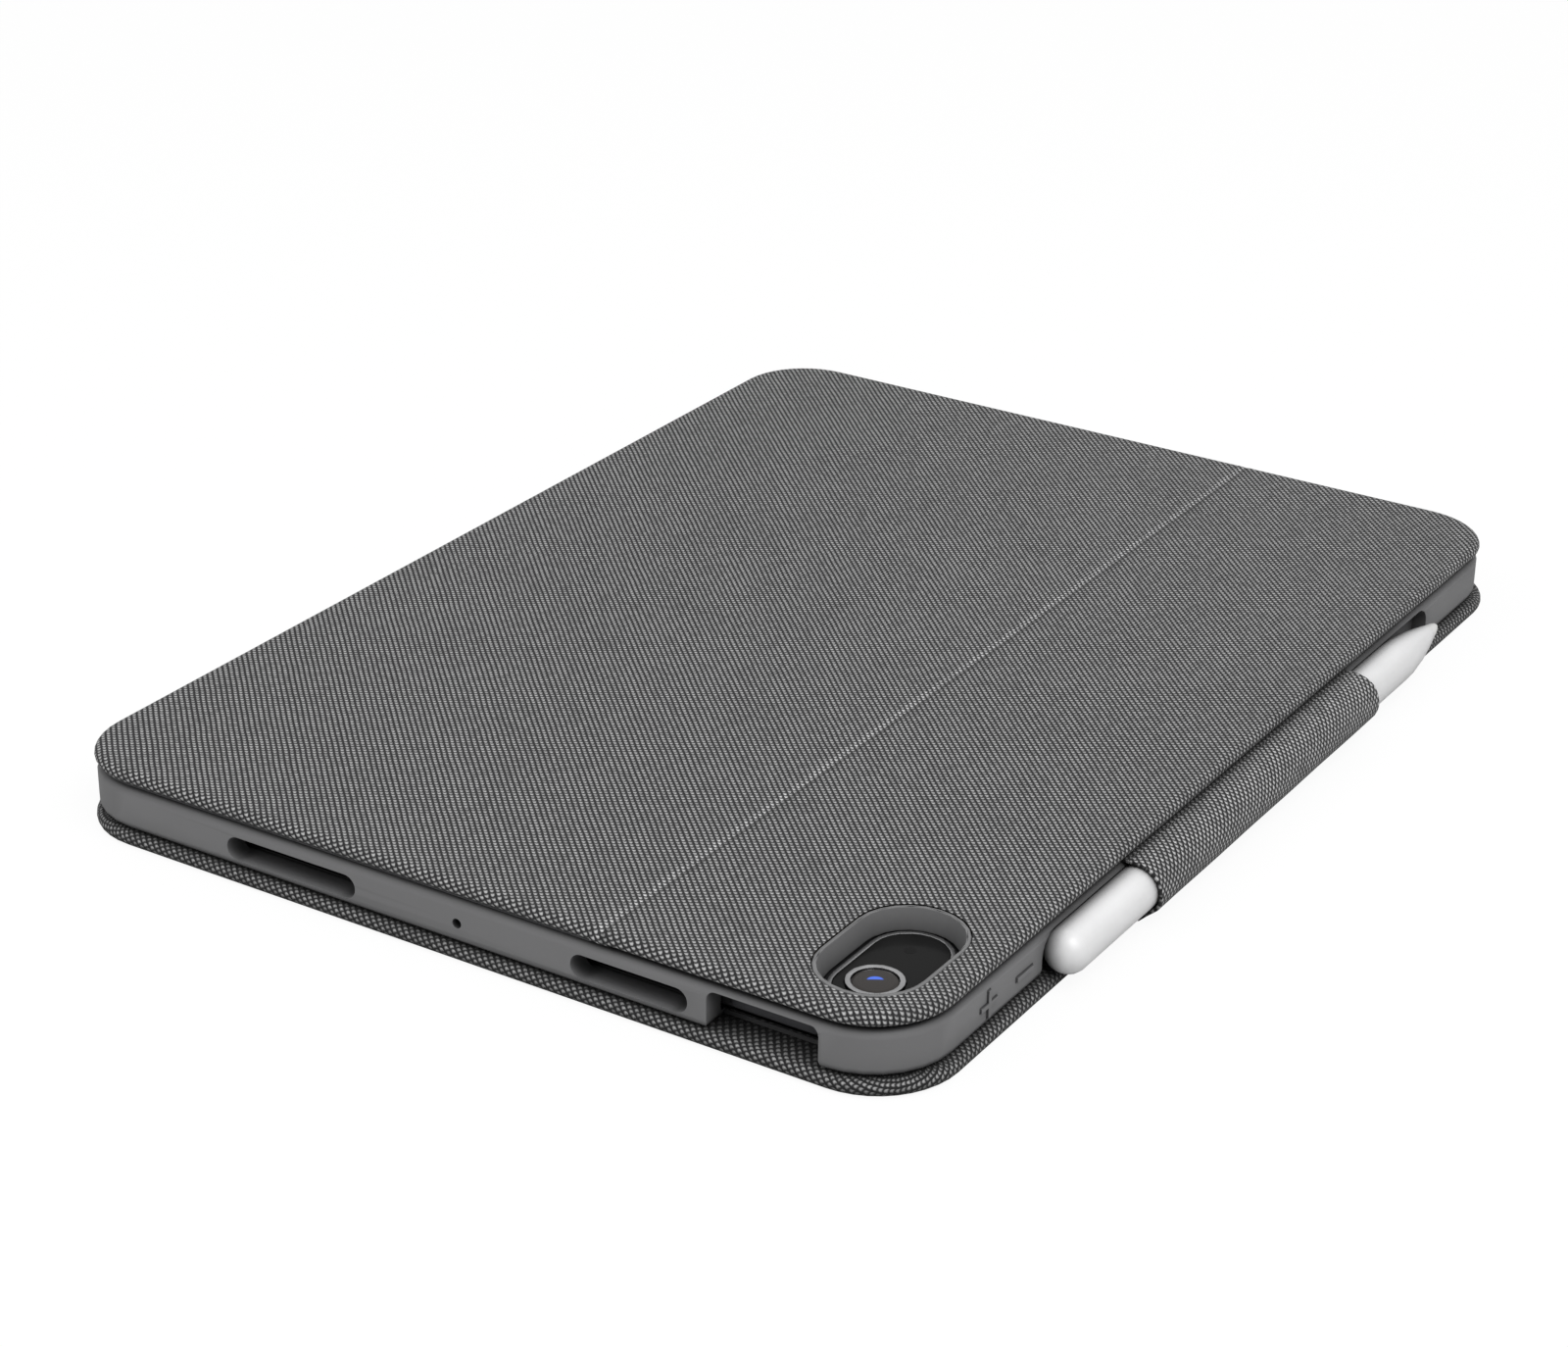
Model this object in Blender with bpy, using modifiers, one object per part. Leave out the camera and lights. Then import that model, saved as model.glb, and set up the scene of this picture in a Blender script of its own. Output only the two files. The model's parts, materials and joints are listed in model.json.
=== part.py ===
"""Tablet keyboard case, closed over a tablet, with a stylus held by a fabric latch.

Frame: metres in Blender, millimetres in the dimensions below. The case lies screen side down.
+Z is up, +X runs along the long side, +Y points to the spine. The origin is on the underside.
"""

import math

import bmesh
import bpy

MM = 0.001

# Back panel, as seen from above
PANEL_X = 258.0
PANEL_Y = 187.7
PANEL_R = 16.4
SKIN = 0.6
GAP = 0.3

# Heights
RIM_TOP = 2.8
FLOOR_TOP = 1.2
WEB_BOTTOM, WEB_TOP = 3.1, 3.4
DECK_BOTTOM, DECK_TOP = 3.6, 4.0
CAP_TOP = 4.7
HOLDER_BOTTOM, HOLDER_TOP = 3.0, 12.2
LIP_TOP = 4.7
SCREEN_BOTTOM = 5.0
TABLET_BOTTOM, TABLET_TOP = 5.6, 10.9
PLATE_BOTTOM = 11.2
LINING_BOTTOM = 12.5
BOARD_BOTTOM, BOARD_TOP = 13.1, 14.6
SKIN_BOTTOM = 12.6
PANEL_TOP = 15.5

# Keyboard cover
COVER_X = 259.6
COVER_FRONT, COVER_REAR = -95.2, 93.9
COVER_R = 16.8
DECK_X = 241.8
DECK_FRONT, DECK_REAR = -86.2, 84.7
DECK_R = 9.0

# Holder and tablet
HOLDER_X, HOLDER_Y, HOLDER_R = 257.4, 187.1, 16.1
TABLET_X, TABLET_Y, TABLET_R = 247.6, 178.5, 12.0
LIP_X, LIP_Y, LIP_R = 243.0, 173.0, 9.0

# Crease that the kickstand swings about
CREASE_FIXED, CREASE_MOVING = -33.0, -30.4

# Camera opening
CAMERA_X, CAMERA_Y = -105.75, -77.15
BEZEL_X, BEZEL_Y = 33.8, 21.6
BEZEL_TOP, BEZEL_BOTTOM = 15.5, 11.2

# Stylus and its latch
STYLUS_Y, STYLUS_Z, STYLUS_R = -95.9, 7.2, 4.45
STYLUS_START, STYLUS_END = -80.4, 88.2
RECESS_START, RECESS_END, RECESS_TOP = -81.3, 88.5, 11.15
RECESS_FLOOR = -90.5
LATCH_START, LATCH_END = -50.2, 46.6
LATCH_THICK = 0.75
LATCH_ARC_R = 5.15

# Buttons
VOLUME_UP_X, VOLUME_DOWN_X, VOLUME_Z = -100.6, -87.9, 7.35
POWER_Y, POWER_Z = -65.2, 7.8

# Keys
PITCH = 17.0
CAP = 14.5
FIELD_LEFT = -119.0
FIRST_ROW_TOP = 66.0
FUNCTION_TOP, FUNCTION_DEPTH = 76.0, 8.4
KEY_GAP = 0.3
TRACKPAD_X, TRACKPAD_FRONT, TRACKPAD_REAR = 110.0, -80.0, -24.0

PARTS = bpy.data.collections.new("tablet_keyboard_case")
CUTTERS = bpy.data.collections.new("cutters")


def clear_scene():
    for obj in list(bpy.data.objects):
        bpy.data.objects.remove(obj, do_unlink=True)
    bpy.context.scene.collection.children.link(PARTS)
    bpy.context.scene.collection.children.link(CUTTERS)
    CUTTERS.hide_render = True


def material(name, colour, roughness=0.6, metallic=0.0, alpha=1.0):
    found = bpy.data.materials.get(name)
    if found:
        return found
    made = bpy.data.materials.new(name)
    made.use_nodes = True
    shader = made.node_tree.nodes["Principled BSDF"]
    shader.inputs["Base Color"].default_value = (*colour, 1.0)
    shader.inputs["Roughness"].default_value = roughness
    shader.inputs["Metallic"].default_value = metallic
    shader.inputs["Alpha"].default_value = alpha
    made.diffuse_color = (*colour, alpha)
    return made


# Outlines are lists of (x, y) in millimetres, anticlockwise


def arc(cx, cy, radius, start, end, steps):
    return [
        (
            cx + radius * math.cos(math.radians(start + (end - start) * i / steps)),
            cy + radius * math.sin(math.radians(start + (end - start) * i / steps)),
        )
        for i in range(steps + 1)
    ]


def rounded(cx, cy, width, depth, radius, steps=5):
    """A rectangle with round corners."""
    right, top = cx + width / 2 - radius, cy + depth / 2 - radius
    left, low = cx - width / 2 + radius, cy - depth / 2 + radius
    corners = ((right, top, 0), (left, top, 90), (left, low, 180), (right, low, 270))
    points = []
    for x, y, start in corners:
        points += arc(x, y, radius, start, start + 90, steps)
    return points


def half_panel(front, rear, inset=0.0, round_front=False):
    """Part of the back panel's outline, from one y to another, with two round corners."""
    half = PANEL_X / 2 - inset
    radius = PANEL_R - inset
    if round_front:
        y = -PANEL_Y / 2 + inset + radius
        points = arc(-half + radius, y, radius, 180, 270, 7)
        points += arc(half - radius, y, radius, 270, 360, 7)
        return points + [(half, rear), (-half, rear)]
    y = PANEL_Y / 2 - inset - radius
    points = [(-half, front), (half, front)]
    points += arc(half - radius, y, radius, 0, 90, 7)
    return points + arc(-half + radius, y, radius, 90, 180, 7)


def octagon_cap(cx, cy, width, depth, cut=0.9):
    """A keycap's outline, a rectangle with its corners cut."""
    x, y = width / 2, depth / 2
    return [
        (cx - x + cut, cy - y),
        (cx + x - cut, cy - y),
        (cx + x, cy - y + cut),
        (cx + x, cy + y - cut),
        (cx + x - cut, cy + y),
        (cx - x + cut, cy + y),
        (cx - x, cy + y - cut),
        (cx - x, cy - y + cut),
    ]


def box_outline(x0, x1, y0, y1):
    return [(x0, y0), (x1, y0), (x1, y1), (x0, y1)]


def tidy_outline(points):
    """The same outline without points that repeat."""
    kept = []
    for point in points:
        if not kept or math.dist(point, kept[-1]) > 1e-3:
            kept.append(point)
    if math.dist(kept[0], kept[-1]) <= 1e-3:
        kept.pop()
    return kept


# Solids


def new_object(name, bm, mat=None, pivot=(0.0, 0.0, 0.0), cutter=False):
    """An object from a bmesh in millimetres, with its origin at the pivot."""
    shift = [-value for value in pivot]
    bmesh.ops.translate(bm, verts=bm.verts, vec=shift)
    bmesh.ops.scale(bm, verts=bm.verts, vec=(MM, MM, MM))
    bmesh.ops.recalc_face_normals(bm, faces=bm.faces)
    mesh = bpy.data.meshes.new(name)
    bm.to_mesh(mesh)
    bm.free()
    obj = bpy.data.objects.new(name, mesh)
    obj.location = [value * MM for value in pivot]
    if cutter:
        CUTTERS.objects.link(obj)
        obj.hide_render = True
        obj.display_type = "WIRE"
    else:
        PARTS.objects.link(obj)
        obj.data.materials.append(mat)
    return obj


def add_prism(bm, outline, low, high, axis="Z", top=None):
    """A prism of an outline along an axis, or a taper between two outlines.

    Along Z the outline is (x, y), along Y it is (x, z), along X it is (y, z)."""

    def place(point, level):
        if axis == "Z":
            return (point[0], point[1], level)
        if axis == "Y":
            return (point[0], level, point[1])
        return (level, point[0], point[1])

    first = tidy_outline(outline)
    second = tidy_outline(top) if top else first
    lower = [bm.verts.new(place(point, low)) for point in first]
    upper = [bm.verts.new(place(point, high)) for point in second]
    bm.faces.new(lower)
    bm.faces.new(upper)
    count = len(lower)
    for i in range(count):
        j = (i + 1) % count
        bm.faces.new((lower[i], lower[j], upper[j], upper[i]))


def prism(name, outline, low, high, mat=None, axis="Z", top=None, pivot=(0, 0, 0), cutter=False):
    bm = bmesh.new()
    add_prism(bm, outline, low, high, axis, top)
    return new_object(name, bm, mat, pivot, cutter)


def prisms(name, outlines, low, high, mat=None, axis="Z", pivot=(0, 0, 0), cutter=False):
    """Several separate prisms in one object."""
    bm = bmesh.new()
    for outline in outlines:
        add_prism(bm, outline, low, high, axis)
    return new_object(name, bm, mat, pivot, cutter)


def cylinder(name, centre, radius, length, axis, mat=None, sides=20, pivot=None, cutter=False):
    """A cylinder along X, Y or Z, about its centre."""
    if axis == "Z":
        flat, level = (centre[0], centre[1]), centre[2]
    elif axis == "Y":
        flat, level = (centre[0], centre[2]), centre[1]
    else:
        flat, level = (centre[1], centre[2]), centre[0]
    outline = arc(*flat, radius, 0, 360 - 360 / sides, sides - 1)
    low, high = level - length / 2, level + length / 2
    return prism(name, outline, low, high, mat, axis, pivot=pivot or (0, 0, 0), cutter=cutter)


def boolean(obj, cutter, operation="DIFFERENCE"):
    modifier = obj.modifiers.new(operation.lower(), "BOOLEAN")
    modifier.operation = operation
    modifier.solver = "EXACT"
    modifier.object = cutter
    return obj


def bevel(obj, width, segments=2, angle=50):
    modifier = obj.modifiers.new("bevel", "BEVEL")
    modifier.width = width * MM
    modifier.segments = segments
    modifier.limit_method = "ANGLE"
    modifier.angle_limit = math.radians(angle)
    modifier.use_clamp_overlap = True
    return obj


def lathe(name, profile, centre_y, centre_z, mat, sides=24):
    """A solid turned about an X axis from a profile of (x, radius)."""
    bm = bmesh.new()
    points = [bm.verts.new((x, radius, 0.0)) for x, radius in profile]
    for first, second in zip(points, points[1:]):
        bm.edges.new((first, second))
    obj = new_object(name, bm, mat)
    obj.location = (0.0, centre_y * MM, centre_z * MM)
    modifier = obj.modifiers.new("turn", "SCREW")
    modifier.axis = "X"
    modifier.steps = sides
    modifier.render_steps = sides
    modifier.use_merge_vertices = True
    modifier.merge_threshold = 0.00001
    modifier.use_smooth_shade = False
    modifier.use_normal_flip = True
    return obj


# Keyboard cover


def build_cover():
    cloth = material("grey_weave", (0.12, 0.12, 0.12), 0.9)
    centre = (COVER_FRONT + COVER_REAR) / 2
    depth = COVER_REAR - COVER_FRONT
    outline = rounded(0, centre, COVER_X, depth, COVER_R, 7)
    shell = prism("cover_shell", outline, 0, RIM_TOP, cloth)
    bevel(shell, 1.1)
    deck_centre = (DECK_FRONT + DECK_REAR) / 2
    deck_depth = DECK_REAR - DECK_FRONT
    pocket = rounded(0, deck_centre, DECK_X + 2 * GAP, deck_depth + 2 * GAP, DECK_R + GAP)
    boolean(shell, prism("cut_cover_pocket", pocket, FLOOR_TOP, 6, cutter=True))
    slot = box_outline(59.5, 76.5, 80, 99)
    boolean(shell, prism("cut_cover_ribbon", slot, 2.2, 6, cutter=True))

    steel = material("base_steel", (0.55, 0.56, 0.57), 0.4, 1.0)
    plate = rounded(0, deck_centre, DECK_X - 1, deck_depth - 1, DECK_R)
    prism("base_plate", plate, 1.5, 1.8, steel)
    film = material("membrane_film", (0.75, 0.74, 0.62), 0.5)
    prism("membrane_sheet", rounded(0, 28.6, 236, 98, 4, 2), 2.1, 2.3, film)
    build_controller()
    magnet = material("magnet_nickel", (0.7, 0.7, 0.68), 0.3, 1.0)
    for side, x in (("left", -110), ("right", 110)):
        bar = rounded(x, -80.5, 14, 5, 1, 2)
        prism("cover_magnet_" + side, bar, 2.1, 3.2, magnet)
    ribbon = material("ribbon_amber", (0.55, 0.25, 0.06), 0.4)
    prism("ribbon_cover", box_outline(60, 76, 79.6, 93.6), 2.5, 2.65, ribbon)


def build_controller():
    """The circuit board beside the trackpad, with its chips."""
    board_mat = material("board_green", (0.03, 0.16, 0.08), 0.5)
    board = prism("controller_board", rounded(-90, -52, 50, 44, 2, 2), 2.1, 2.7, board_mat)
    chips = [box_outline(-104, -92, -60, -48), box_outline(-84, -76, -44, -38)]
    chips.append(box_outline(-110, -106, -70, -62))
    boolean(board, prisms("add_chips", chips, 2.6, 3.3, cutter=True), "UNION")
    dome = material("switch_steel", (0.6, 0.6, 0.6), 0.35, 1.0)
    prism("trackpad_switch", rounded(0, -70, 24, 12, 2, 2), 2.1, 2.6, dome)


def row_keys(row):
    """(x centre, width in pitches) of each key in a row, from the left."""
    rows = {
        "function": [1.0] * 14,
        "number": [1.0] * 14,
        "upper": [1.3] + [1.0] * 12 + [0.7],
        "home": [1.6] + [1.0] * 11 + [1.4],
        "lower": [2.1] + [1.0] * 10 + [1.9],
        "bottom_left": [1.0, 1.0, 1.0, 1.2],
        "space": [5.0],
        "bottom_right": [1.2, 1.0],
    }
    starts = {"space": 4.2, "bottom_right": 9.2}
    x = FIELD_LEFT + starts.get(row, 0.0) * PITCH
    keys = []
    for units in rows[row]:
        keys.append((x + units * PITCH / 2, units))
        x += units * PITCH
    return keys


def row_centre(index):
    """The y of a full-size row, counted from the number row."""
    return FIRST_ROW_TOP - PITCH * (index + 0.5)


def caps_of(row, index, depth=CAP, centre=None):
    """(x, y, width, depth) of each keycap in a row."""
    y = row_centre(index) if centre is None else centre
    slack = PITCH - CAP
    return [(x, y, units * PITCH - slack, depth) for x, units in row_keys(row)]


def arrow_caps():
    """The arrow keys: left and right low, up and down in one column between them."""
    width, half = 0.87 * PITCH - 2.5, 6.9
    left = FIELD_LEFT + 11.4 * PITCH
    y = row_centre(4)
    columns = [left + 0.87 * PITCH * (i + 0.5) for i in range(3)]
    low, high = y - CAP / 2 + half / 2, y + CAP / 2 - half / 2
    caps = [(columns[0], low, width, half), (columns[2], low, width, half)]
    return caps + [(columns[1], low, width, half), (columns[1], high, width, half)]


def all_rows():
    """Each group of keys that moves as one, with its caps."""
    function_y = FUNCTION_TOP - FUNCTION_DEPTH / 2
    return {
        "keys_function": caps_of("function", 0, FUNCTION_DEPTH, function_y),
        "keys_number": caps_of("number", 0),
        "keys_upper": caps_of("upper", 1),
        "keys_home": caps_of("home", 2),
        "keys_lower": caps_of("lower", 3),
        "keys_bottom_left": caps_of("bottom_left", 4),
        "space_bar": caps_of("space", 4),
        "keys_bottom_right": caps_of("bottom_right", 4),
        "keys_arrow": arrow_caps(),
    }


def build_keys():
    plastic = material("key_plastic", (0.02, 0.02, 0.022), 0.5)
    for name, caps in all_rows().items():
        outlines = [octagon_cap(*cap) for cap in caps]
        if len(caps) == 1:
            prism(name, outlines[0], WEB_BOTTOM, CAP_TOP, plastic)
            continue
        left = min(x - width / 2 for x, _, width, _ in caps)
        right = max(x + width / 2 for x, _, width, _ in caps)
        low = min(y - depth / 2 for _, y, _, depth in caps)
        high = max(y + depth / 2 for _, y, _, depth in caps)
        web = box_outline(left + 1, right - 1, low + 0.5, high - 0.5)
        keys = prism(name, web, WEB_BOTTOM, WEB_TOP, plastic)
        boolean(keys, prisms("add_" + name, outlines, 3.25, CAP_TOP, cutter=True), "UNION")


def build_deck():
    """The upper shell around the keys: a lid with a skirt that stands inside the cover's rim."""
    plastic = material("deck_plastic", (0.1, 0.1, 0.105), 0.7)
    centre = (DECK_FRONT + DECK_REAR) / 2
    depth = DECK_REAR - DECK_FRONT
    deck = prism("keyboard_deck", rounded(0, centre, DECK_X, depth, DECK_R), 2.6, DECK_TOP, plastic)
    hollow = rounded(0, centre, DECK_X - 1.6, depth - 1.6, DECK_R - 0.8)
    boolean(deck, prism("cut_deck_hollow", hollow, 0, DECK_BOTTOM, cutter=True))
    holes = []
    for caps in all_rows().values():
        for x, y, width, long in caps:
            holes.append(octagon_cap(x, y, width + 2 * KEY_GAP, long + 2 * KEY_GAP, 1.0))
    pad_depth = TRACKPAD_REAR - TRACKPAD_FRONT
    pad_y = (TRACKPAD_FRONT + TRACKPAD_REAR) / 2
    pad_hole = rounded(0, pad_y, TRACKPAD_X + 2 * GAP, pad_depth + 2 * GAP, 3 + GAP, 3)
    holes.append(pad_hole)
    boolean(deck, prisms("cut_deck_holes", holes, 3, 6, cutter=True))
    slot = box_outline(59.5, 76.5, 82, 99)
    boolean(deck, prism("cut_deck_ribbon", slot, 0, 3.0, cutter=True))
    glass = material("trackpad_glass", (0.09, 0.09, 0.095), 0.35)
    prism("trackpad_plate", rounded(0, pad_y, TRACKPAD_X, pad_depth, 3, 3), 3.1, 3.95, glass)


# Spine


def build_spine():
    cloth = material("spine_weave", (0.12, 0.12, 0.12), 0.9)
    strip = rounded(0, 5.9, 208, 4.6, 1.2, 2)
    prism("spine_strip", strip, 94.4, 95.3, cloth, axis="Y")
    ribbon = material("ribbon_amber", (0.55, 0.25, 0.06), 0.4)
    prism("ribbon_spine", box_outline(60, 76, 4.1, 7.7), 93.95, 94.1, ribbon, axis="Y")


# Holder


def pill(cx, cy, width, height, steps=6):
    return rounded(cx, cy, width, height, height / 2, steps)


def frame_openings():
    """Cutters through the frame's sides, each an outline, an axis and its span."""
    left, right = (-140, -122), (122, 140)
    openings = []
    for y0, y1 in ((22.5, 52.7), (-50.1, -25.4)):
        slot = pill((y0 + y1) / 2, 7.1, y1 - y0, 4.8, 6)
        openings += [(slot, "X", left), (slot, "X", right)]
    openings.append((pill(0, 7.6, 12, 5.4, 6), "X", right))
    openings.append((arc(-0.6, 7.3, 1.0, 0, 330, 11), "X", left))
    openings.append((notch_outline(), "X", left))
    openings.append((recess_outline(), "Y", (-99, RECESS_FLOOR)))
    return openings


def notch_outline():
    """The gap in the frame at the power button, open below, as (y, z)."""
    rear, front, top, radius = -54.0, -76.6, 11.0, 1.6
    outline = [(front - 3.2, 1.5), (rear + 3.2, 1.5), (rear + 3.2, 3.0)]
    outline += arc(rear + radius, 4.6, radius, 270, 180, 4)
    outline += arc(rear - radius, top - radius, radius, 0, 90, 4)
    outline += arc(front + radius, top - radius, radius, 90, 180, 4)
    outline += arc(front - radius, 4.6, radius, 0, -90, 4)
    return outline + [(front - 3.2, 3.0)]


def recess_outline():
    """The stylus recess from the front, as (x, z): open below, with round upper corners."""
    near, far = 4.2, 3.8
    outline = [(RECESS_START, 1.5), (RECESS_END, 1.5)]
    outline += arc(RECESS_END - far, RECESS_TOP - far, far, 0, 90, 5)
    return outline + arc(RECESS_START + near, RECESS_TOP - near, near, 90, 180, 5)


def build_frame():
    soft = material("frame_grey", (0.19, 0.19, 0.195), 0.55)
    outer = rounded(0, 0, HOLDER_X, HOLDER_Y, HOLDER_R, 7)
    frame = prism("holder_frame", outer, HOLDER_BOTTOM, HOLDER_TOP, soft)
    bevel(frame, 1.8, 3)
    pocket = rounded(0, 0, TABLET_X + 2 * GAP, TABLET_Y + 2 * GAP, TABLET_R + GAP)
    boolean(frame, prism("cut_frame_pocket", pocket, LIP_TOP, PLATE_BOTTOM, cutter=True))
    window = rounded(0, 0, LIP_X, LIP_Y, LIP_R)
    boolean(frame, prism("cut_frame_window", window, 0, LIP_TOP + 1, cutter=True))
    for number, (outline, axis, span) in enumerate(frame_openings()):
        name = "cut_frame_side_%d" % number
        boolean(frame, prism(name, outline, *span, axis=axis, cutter=True))
    hole = pill(CAMERA_X, CAMERA_Y, BEZEL_X + 2 * GAP, BEZEL_Y + 2 * GAP)
    boolean(frame, prism("cut_frame_camera", hole, 8, 20, cutter=True))
    boolean(frame, prism("cut_frame_contact", rounded(0, 77, 26.6, 8.6, 1.5, 2), 8, 20, cutter=True))
    boolean(frame, prism("cut_frame_ribbon", ribbon_path(GAP), 11.6, 20, cutter=True))
    boolean(frame, prisms("cut_frame_volume", volume_outlines(0.15), -99, -86, axis="Y", cutter=True))
    flanges = [rounded(x, VOLUME_Z, 7.6, 4.2, 1, 2) for x in (VOLUME_UP_X, VOLUME_DOWN_X)]
    boolean(frame, prisms("cut_frame_flange", flanges, -91.4, -86, axis="Y", cutter=True))


def ribbon_path(grow=0.0):
    """The flat cable's way from the contacts to the spine, widened on each side."""
    return [
        (13.6 - grow, 74 - grow),
        (76 + grow, 74 - grow),
        (76 + grow, 93.3 + 9 * grow),
        (60 - grow, 93.3 + 9 * grow),
        (60 - grow, 80 + grow),
        (13.6 - grow, 80 + grow),
    ]


def volume_outlines(grow=0.0):
    """The plus and minus that stand out of the frame, as (x, z) outlines."""
    half, arm, z = 2.9 + grow, 0.45 + grow, VOLUME_Z
    x = VOLUME_UP_X
    plus = [
        (x - half, z - arm), (x - arm, z - arm), (x - arm, z - half + 0.3),
        (x + arm, z - half + 0.3), (x + arm, z - arm), (x + half, z - arm),
        (x + half, z + arm), (x + arm, z + arm), (x + arm, z + half),
        (x - arm, z + half), (x - arm, z + arm), (x - half, z + arm),
    ]
    x = VOLUME_DOWN_X
    return [plus, box_outline(x - half, x + half, z - arm, z + arm)]


def build_buttons():
    soft = material("button_grey", (0.2, 0.2, 0.205), 0.55)
    places = {"volume_up_button": VOLUME_UP_X, "volume_down_button": VOLUME_DOWN_X}
    for (name, x), outline in zip(places.items(), volume_outlines()):
        pivot = (x, -92.0, VOLUME_Z)
        button = prism(name, outline, -93.95, -90.9, soft, axis="Y", pivot=pivot)
        flange = rounded(x, VOLUME_Z, 7.0, 3.6, 0.8, 2)
        added = prism("add_" + name, flange, -91.1, -90.6, axis="Y", cutter=True)
        boolean(button, added, "UNION")
    dark = material("tablet_button_grey", (0.05, 0.05, 0.055), 0.35, 1.0)
    pivot = (-124.0, POWER_Y, POWER_Z)
    outline = pill(POWER_Y, POWER_Z, 18.6, 2.7, 6)
    prism("tablet_power_button", outline, -124.25, -122.8, dark, axis="X", pivot=pivot)


def build_holder_inside():
    moulded = material("contact_plastic", (0.03, 0.03, 0.03), 0.5)
    block = prism("contact_block", rounded(0, 77, 26, 8, 1.2, 2), 11.2, 12.2, moulded)
    holes = [arc(x, 77, 0.9, 0, 330, 11) for x in (-6, 0, 6)]
    boolean(block, prisms("cut_contact_pins", holes, 8, 12.0, cutter=True))
    gold = material("contact_gold", (0.8, 0.6, 0.25), 0.3, 1.0)
    for side, x in (("left", -6), ("middle", 0), ("right", 6)):
        pivot = (x, 77, 11.3)
        name = "contact_pin_" + side
        cylinder(name, (x, 77, 11.33), 0.6, 0.6, "Z", gold, sides=12, pivot=pivot)
    ribbon = material("ribbon_amber", (0.55, 0.25, 0.06), 0.4)
    prism("ribbon_holder", ribbon_path(), 11.85, 12.0, ribbon)
    cloth = material("latch_weave", (0.12, 0.12, 0.12), 0.9)
    prism("latch_anchor", box_outline(LATCH_START + 0.5, LATCH_END - 0.5, -92.6, -82), 12.5, 12.8, cloth)


def build_back():
    """The fixed part of the back panel: board, fabric skin and camera bezel."""
    board = material("panel_board", (0.25, 0.22, 0.19), 0.8)
    cloth = material("back_weave", (0.12, 0.12, 0.12), 0.9)
    hole = pill(CAMERA_X, CAMERA_Y, BEZEL_X + 2 * GAP, BEZEL_Y + 2 * GAP)
    inset = SKIN + GAP
    outline = half_panel(0, CREASE_FIXED - inset, inset, round_front=True)
    back = prism("back_board", outline, BOARD_BOTTOM, BOARD_TOP, board)
    boolean(back, prism("cut_board_camera", hole, 8, 20, cutter=True))

    outline = half_panel(0, CREASE_FIXED, round_front=True)
    skin = prism("back_fabric", outline, SKIN_BOTTOM, PANEL_TOP, cloth)
    bevel(skin, 0.8)
    hollow = half_panel(0, CREASE_FIXED - SKIN, SKIN, round_front=True)
    boolean(skin, prism("cut_back_fabric", hollow, 8, PANEL_TOP - SKIN, cutter=True))
    boolean(skin, prism("cut_skin_camera", hole, 8, 20, cutter=True))

    soft = material("bezel_grey", (0.17, 0.17, 0.175), 0.5)
    rim = pill(CAMERA_X, CAMERA_Y, BEZEL_X, BEZEL_Y)
    bezel = prism("camera_bezel", rim, BEZEL_BOTTOM, BEZEL_TOP, soft)
    bevel(bezel, 0.3, 1)
    low = pill(CAMERA_X, CAMERA_Y, BEZEL_X - 4.2, BEZEL_Y - 4.2)
    high = pill(CAMERA_X, CAMERA_Y, BEZEL_X - 1.6, BEZEL_Y - 1.6)
    funnel = prism("cut_bezel", low, BEZEL_BOTTOM - 0.6, BEZEL_TOP + 0.5, top=high, cutter=True)
    boolean(bezel, funnel)


def build_kickstand():
    """The moving part of the back panel, which swings about the crease."""
    pivot = (0, -31.7, 15.0)
    board = material("kickstand_core", (0.25, 0.22, 0.19), 0.8)
    cloth = material("kickstand_weave", (0.12, 0.12, 0.12), 0.9)
    lining = material("lining_microfibre", (0.08, 0.08, 0.085), 0.95)
    inset = SKIN + GAP
    inner = half_panel(CREASE_MOVING + inset, 0, inset)
    prism("kickstand_board", inner, BOARD_BOTTOM, BOARD_TOP, board, pivot=pivot)
    prism("kickstand_lining", inner, LINING_BOTTOM, LINING_BOTTOM + GAP, lining, pivot=pivot)
    outline = half_panel(CREASE_MOVING, 0)
    skin = prism("kickstand_fabric", outline, SKIN_BOTTOM, PANEL_TOP, cloth, pivot=pivot)
    bevel(skin, 0.8)
    hollow = half_panel(CREASE_MOVING + SKIN, 0, SKIN)
    boolean(skin, prism("cut_kickstand_fabric", hollow, 8, PANEL_TOP - SKIN, cutter=True))


def build_crease():
    """The bare fabric between the two boards, which is the kickstand's hinge."""
    cloth = material("crease_weave", (0.09, 0.09, 0.09), 0.9)
    width = PANEL_X / 2 - 1
    strip = box_outline(-width, width, CREASE_FIXED + GAP, -31.3)
    prism("crease_strip", strip, 14.3, 14.9, cloth)


# Tablet


def build_tablet():
    metal = material("tablet_aluminium", (0.3, 0.3, 0.31), 0.35, 1.0)
    body = prism("tablet_body", rounded(0, 0, TABLET_X, TABLET_Y, TABLET_R), TABLET_BOTTOM, TABLET_TOP, metal)
    bevel(body, 0.6, 1)
    pocket = pill(POWER_Y, POWER_Z, 19.0, 3.1, 6)
    boolean(body, prism("cut_tablet_button", pocket, -130, -122.3, axis="X", cutter=True))
    glass = material("tablet_screen_glass", (0.01, 0.01, 0.012), 0.08)
    screen = rounded(0, 0, TABLET_X - 0.6, TABLET_Y - 0.6, TABLET_R - 0.3)
    prism("tablet_screen", screen, SCREEN_BOTTOM, 5.4, glass)


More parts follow.
